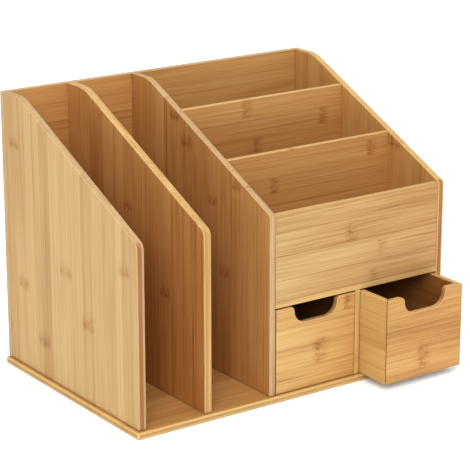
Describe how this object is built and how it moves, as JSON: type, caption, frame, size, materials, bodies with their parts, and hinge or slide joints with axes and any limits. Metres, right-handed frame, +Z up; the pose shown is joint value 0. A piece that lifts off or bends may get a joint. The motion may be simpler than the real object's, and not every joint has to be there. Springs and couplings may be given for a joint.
{
  "type": "desk organizer",
  "caption": "Bamboo desk organizer with open file bays beside a module of stepped bins over notched drawers, on a flat base board.",
  "frame": {"origin": "centre of the base board's underside, on the desk's surface", "axes": "+X runs to the side with the drawers, +Y to the back panel, +Z up; the drawers pull out along -Y"},
  "size_m": [0.381, 0.2945, 0.291],
  "materials": {
    "bamboo_board": "light natural bamboo, satin clear coat",
    "bamboo_drawer_board": "natural bamboo with the grain level, satin clear coat",
    "bamboo_inner_board": "natural bamboo, a little darker, satin clear coat",
    "screw_steel": "plain zinc-plated countersunk screw",
    "dowel_wood": "plain hardwood dowel"
  },
  "bodies": {
    "carcass": {"base_panel": "bamboo_board", "back_panel": "bamboo_board", "left_side_panel": "bamboo_board", "file_divider": "bamboo_board", "inner_side_panel": "bamboo_board", "right_side_panel": "bamboo_board", "front_panel": "bamboo_board", "bin_shelf": "bamboo_inner_board", "front_partition": "bamboo_inner_board", "rear_partition": "bamboo_inner_board", "drawer_divider": "bamboo_board", "screw_base_left_side_panel_front": "screw_steel", "screw_base_left_side_panel_rear": "screw_steel", "screw_base_file_divider_front": "screw_steel", "screw_base_file_divider_rear": "screw_steel", "screw_base_inner_side_panel_front": "screw_steel", "screw_base_inner_side_panel_rear": "screw_steel", "screw_base_right_side_panel_front": "screw_steel", "screw_base_right_side_panel_rear": "screw_steel", "screw_base_drawer_divider_front": "screw_steel", "screw_base_drawer_divider_rear": "screw_steel", "screw_back_left_side_panel_low": "screw_steel", "screw_back_left_side_panel_high": "screw_steel", "screw_back_file_divider_low": "screw_steel", "screw_back_file_divider_high": "screw_steel", "screw_back_inner_side_panel_low": "screw_steel", "screw_back_inner_side_panel_high": "screw_steel", "screw_back_right_side_panel_low": "screw_steel", "screw_back_right_side_panel_high": "screw_steel", "dowel_left_low": "dowel_wood", "dowel_left_high": "dowel_wood", "dowel_right_low": "dowel_wood", "dowel_right_high": "dowel_wood"},
    "drawer_left": {"drawer_left_front": "bamboo_drawer_board", "drawer_left_left_side": "bamboo_drawer_board", "drawer_left_right_side": "bamboo_drawer_board", "drawer_left_back": "bamboo_inner_board", "drawer_left_bottom": "bamboo_inner_board"},
    "drawer_right": {"drawer_right_front": "bamboo_drawer_board", "drawer_right_left_side": "bamboo_drawer_board", "drawer_right_right_side": "bamboo_drawer_board", "drawer_right_back": "bamboo_inner_board", "drawer_right_bottom": "bamboo_inner_board"}
  },
  "joints": [
    {"name": "drawer_left_slide", "type": "slide", "parent": "carcass", "child": "drawer_left", "axis": [0, -1, 0], "range_m": [0, 0.17]},
    {"name": "drawer_right_slide", "type": "slide", "parent": "carcass", "child": "drawer_right", "axis": [0, -1, 0], "range_m": [-0.042, 0.128]}
  ]
}
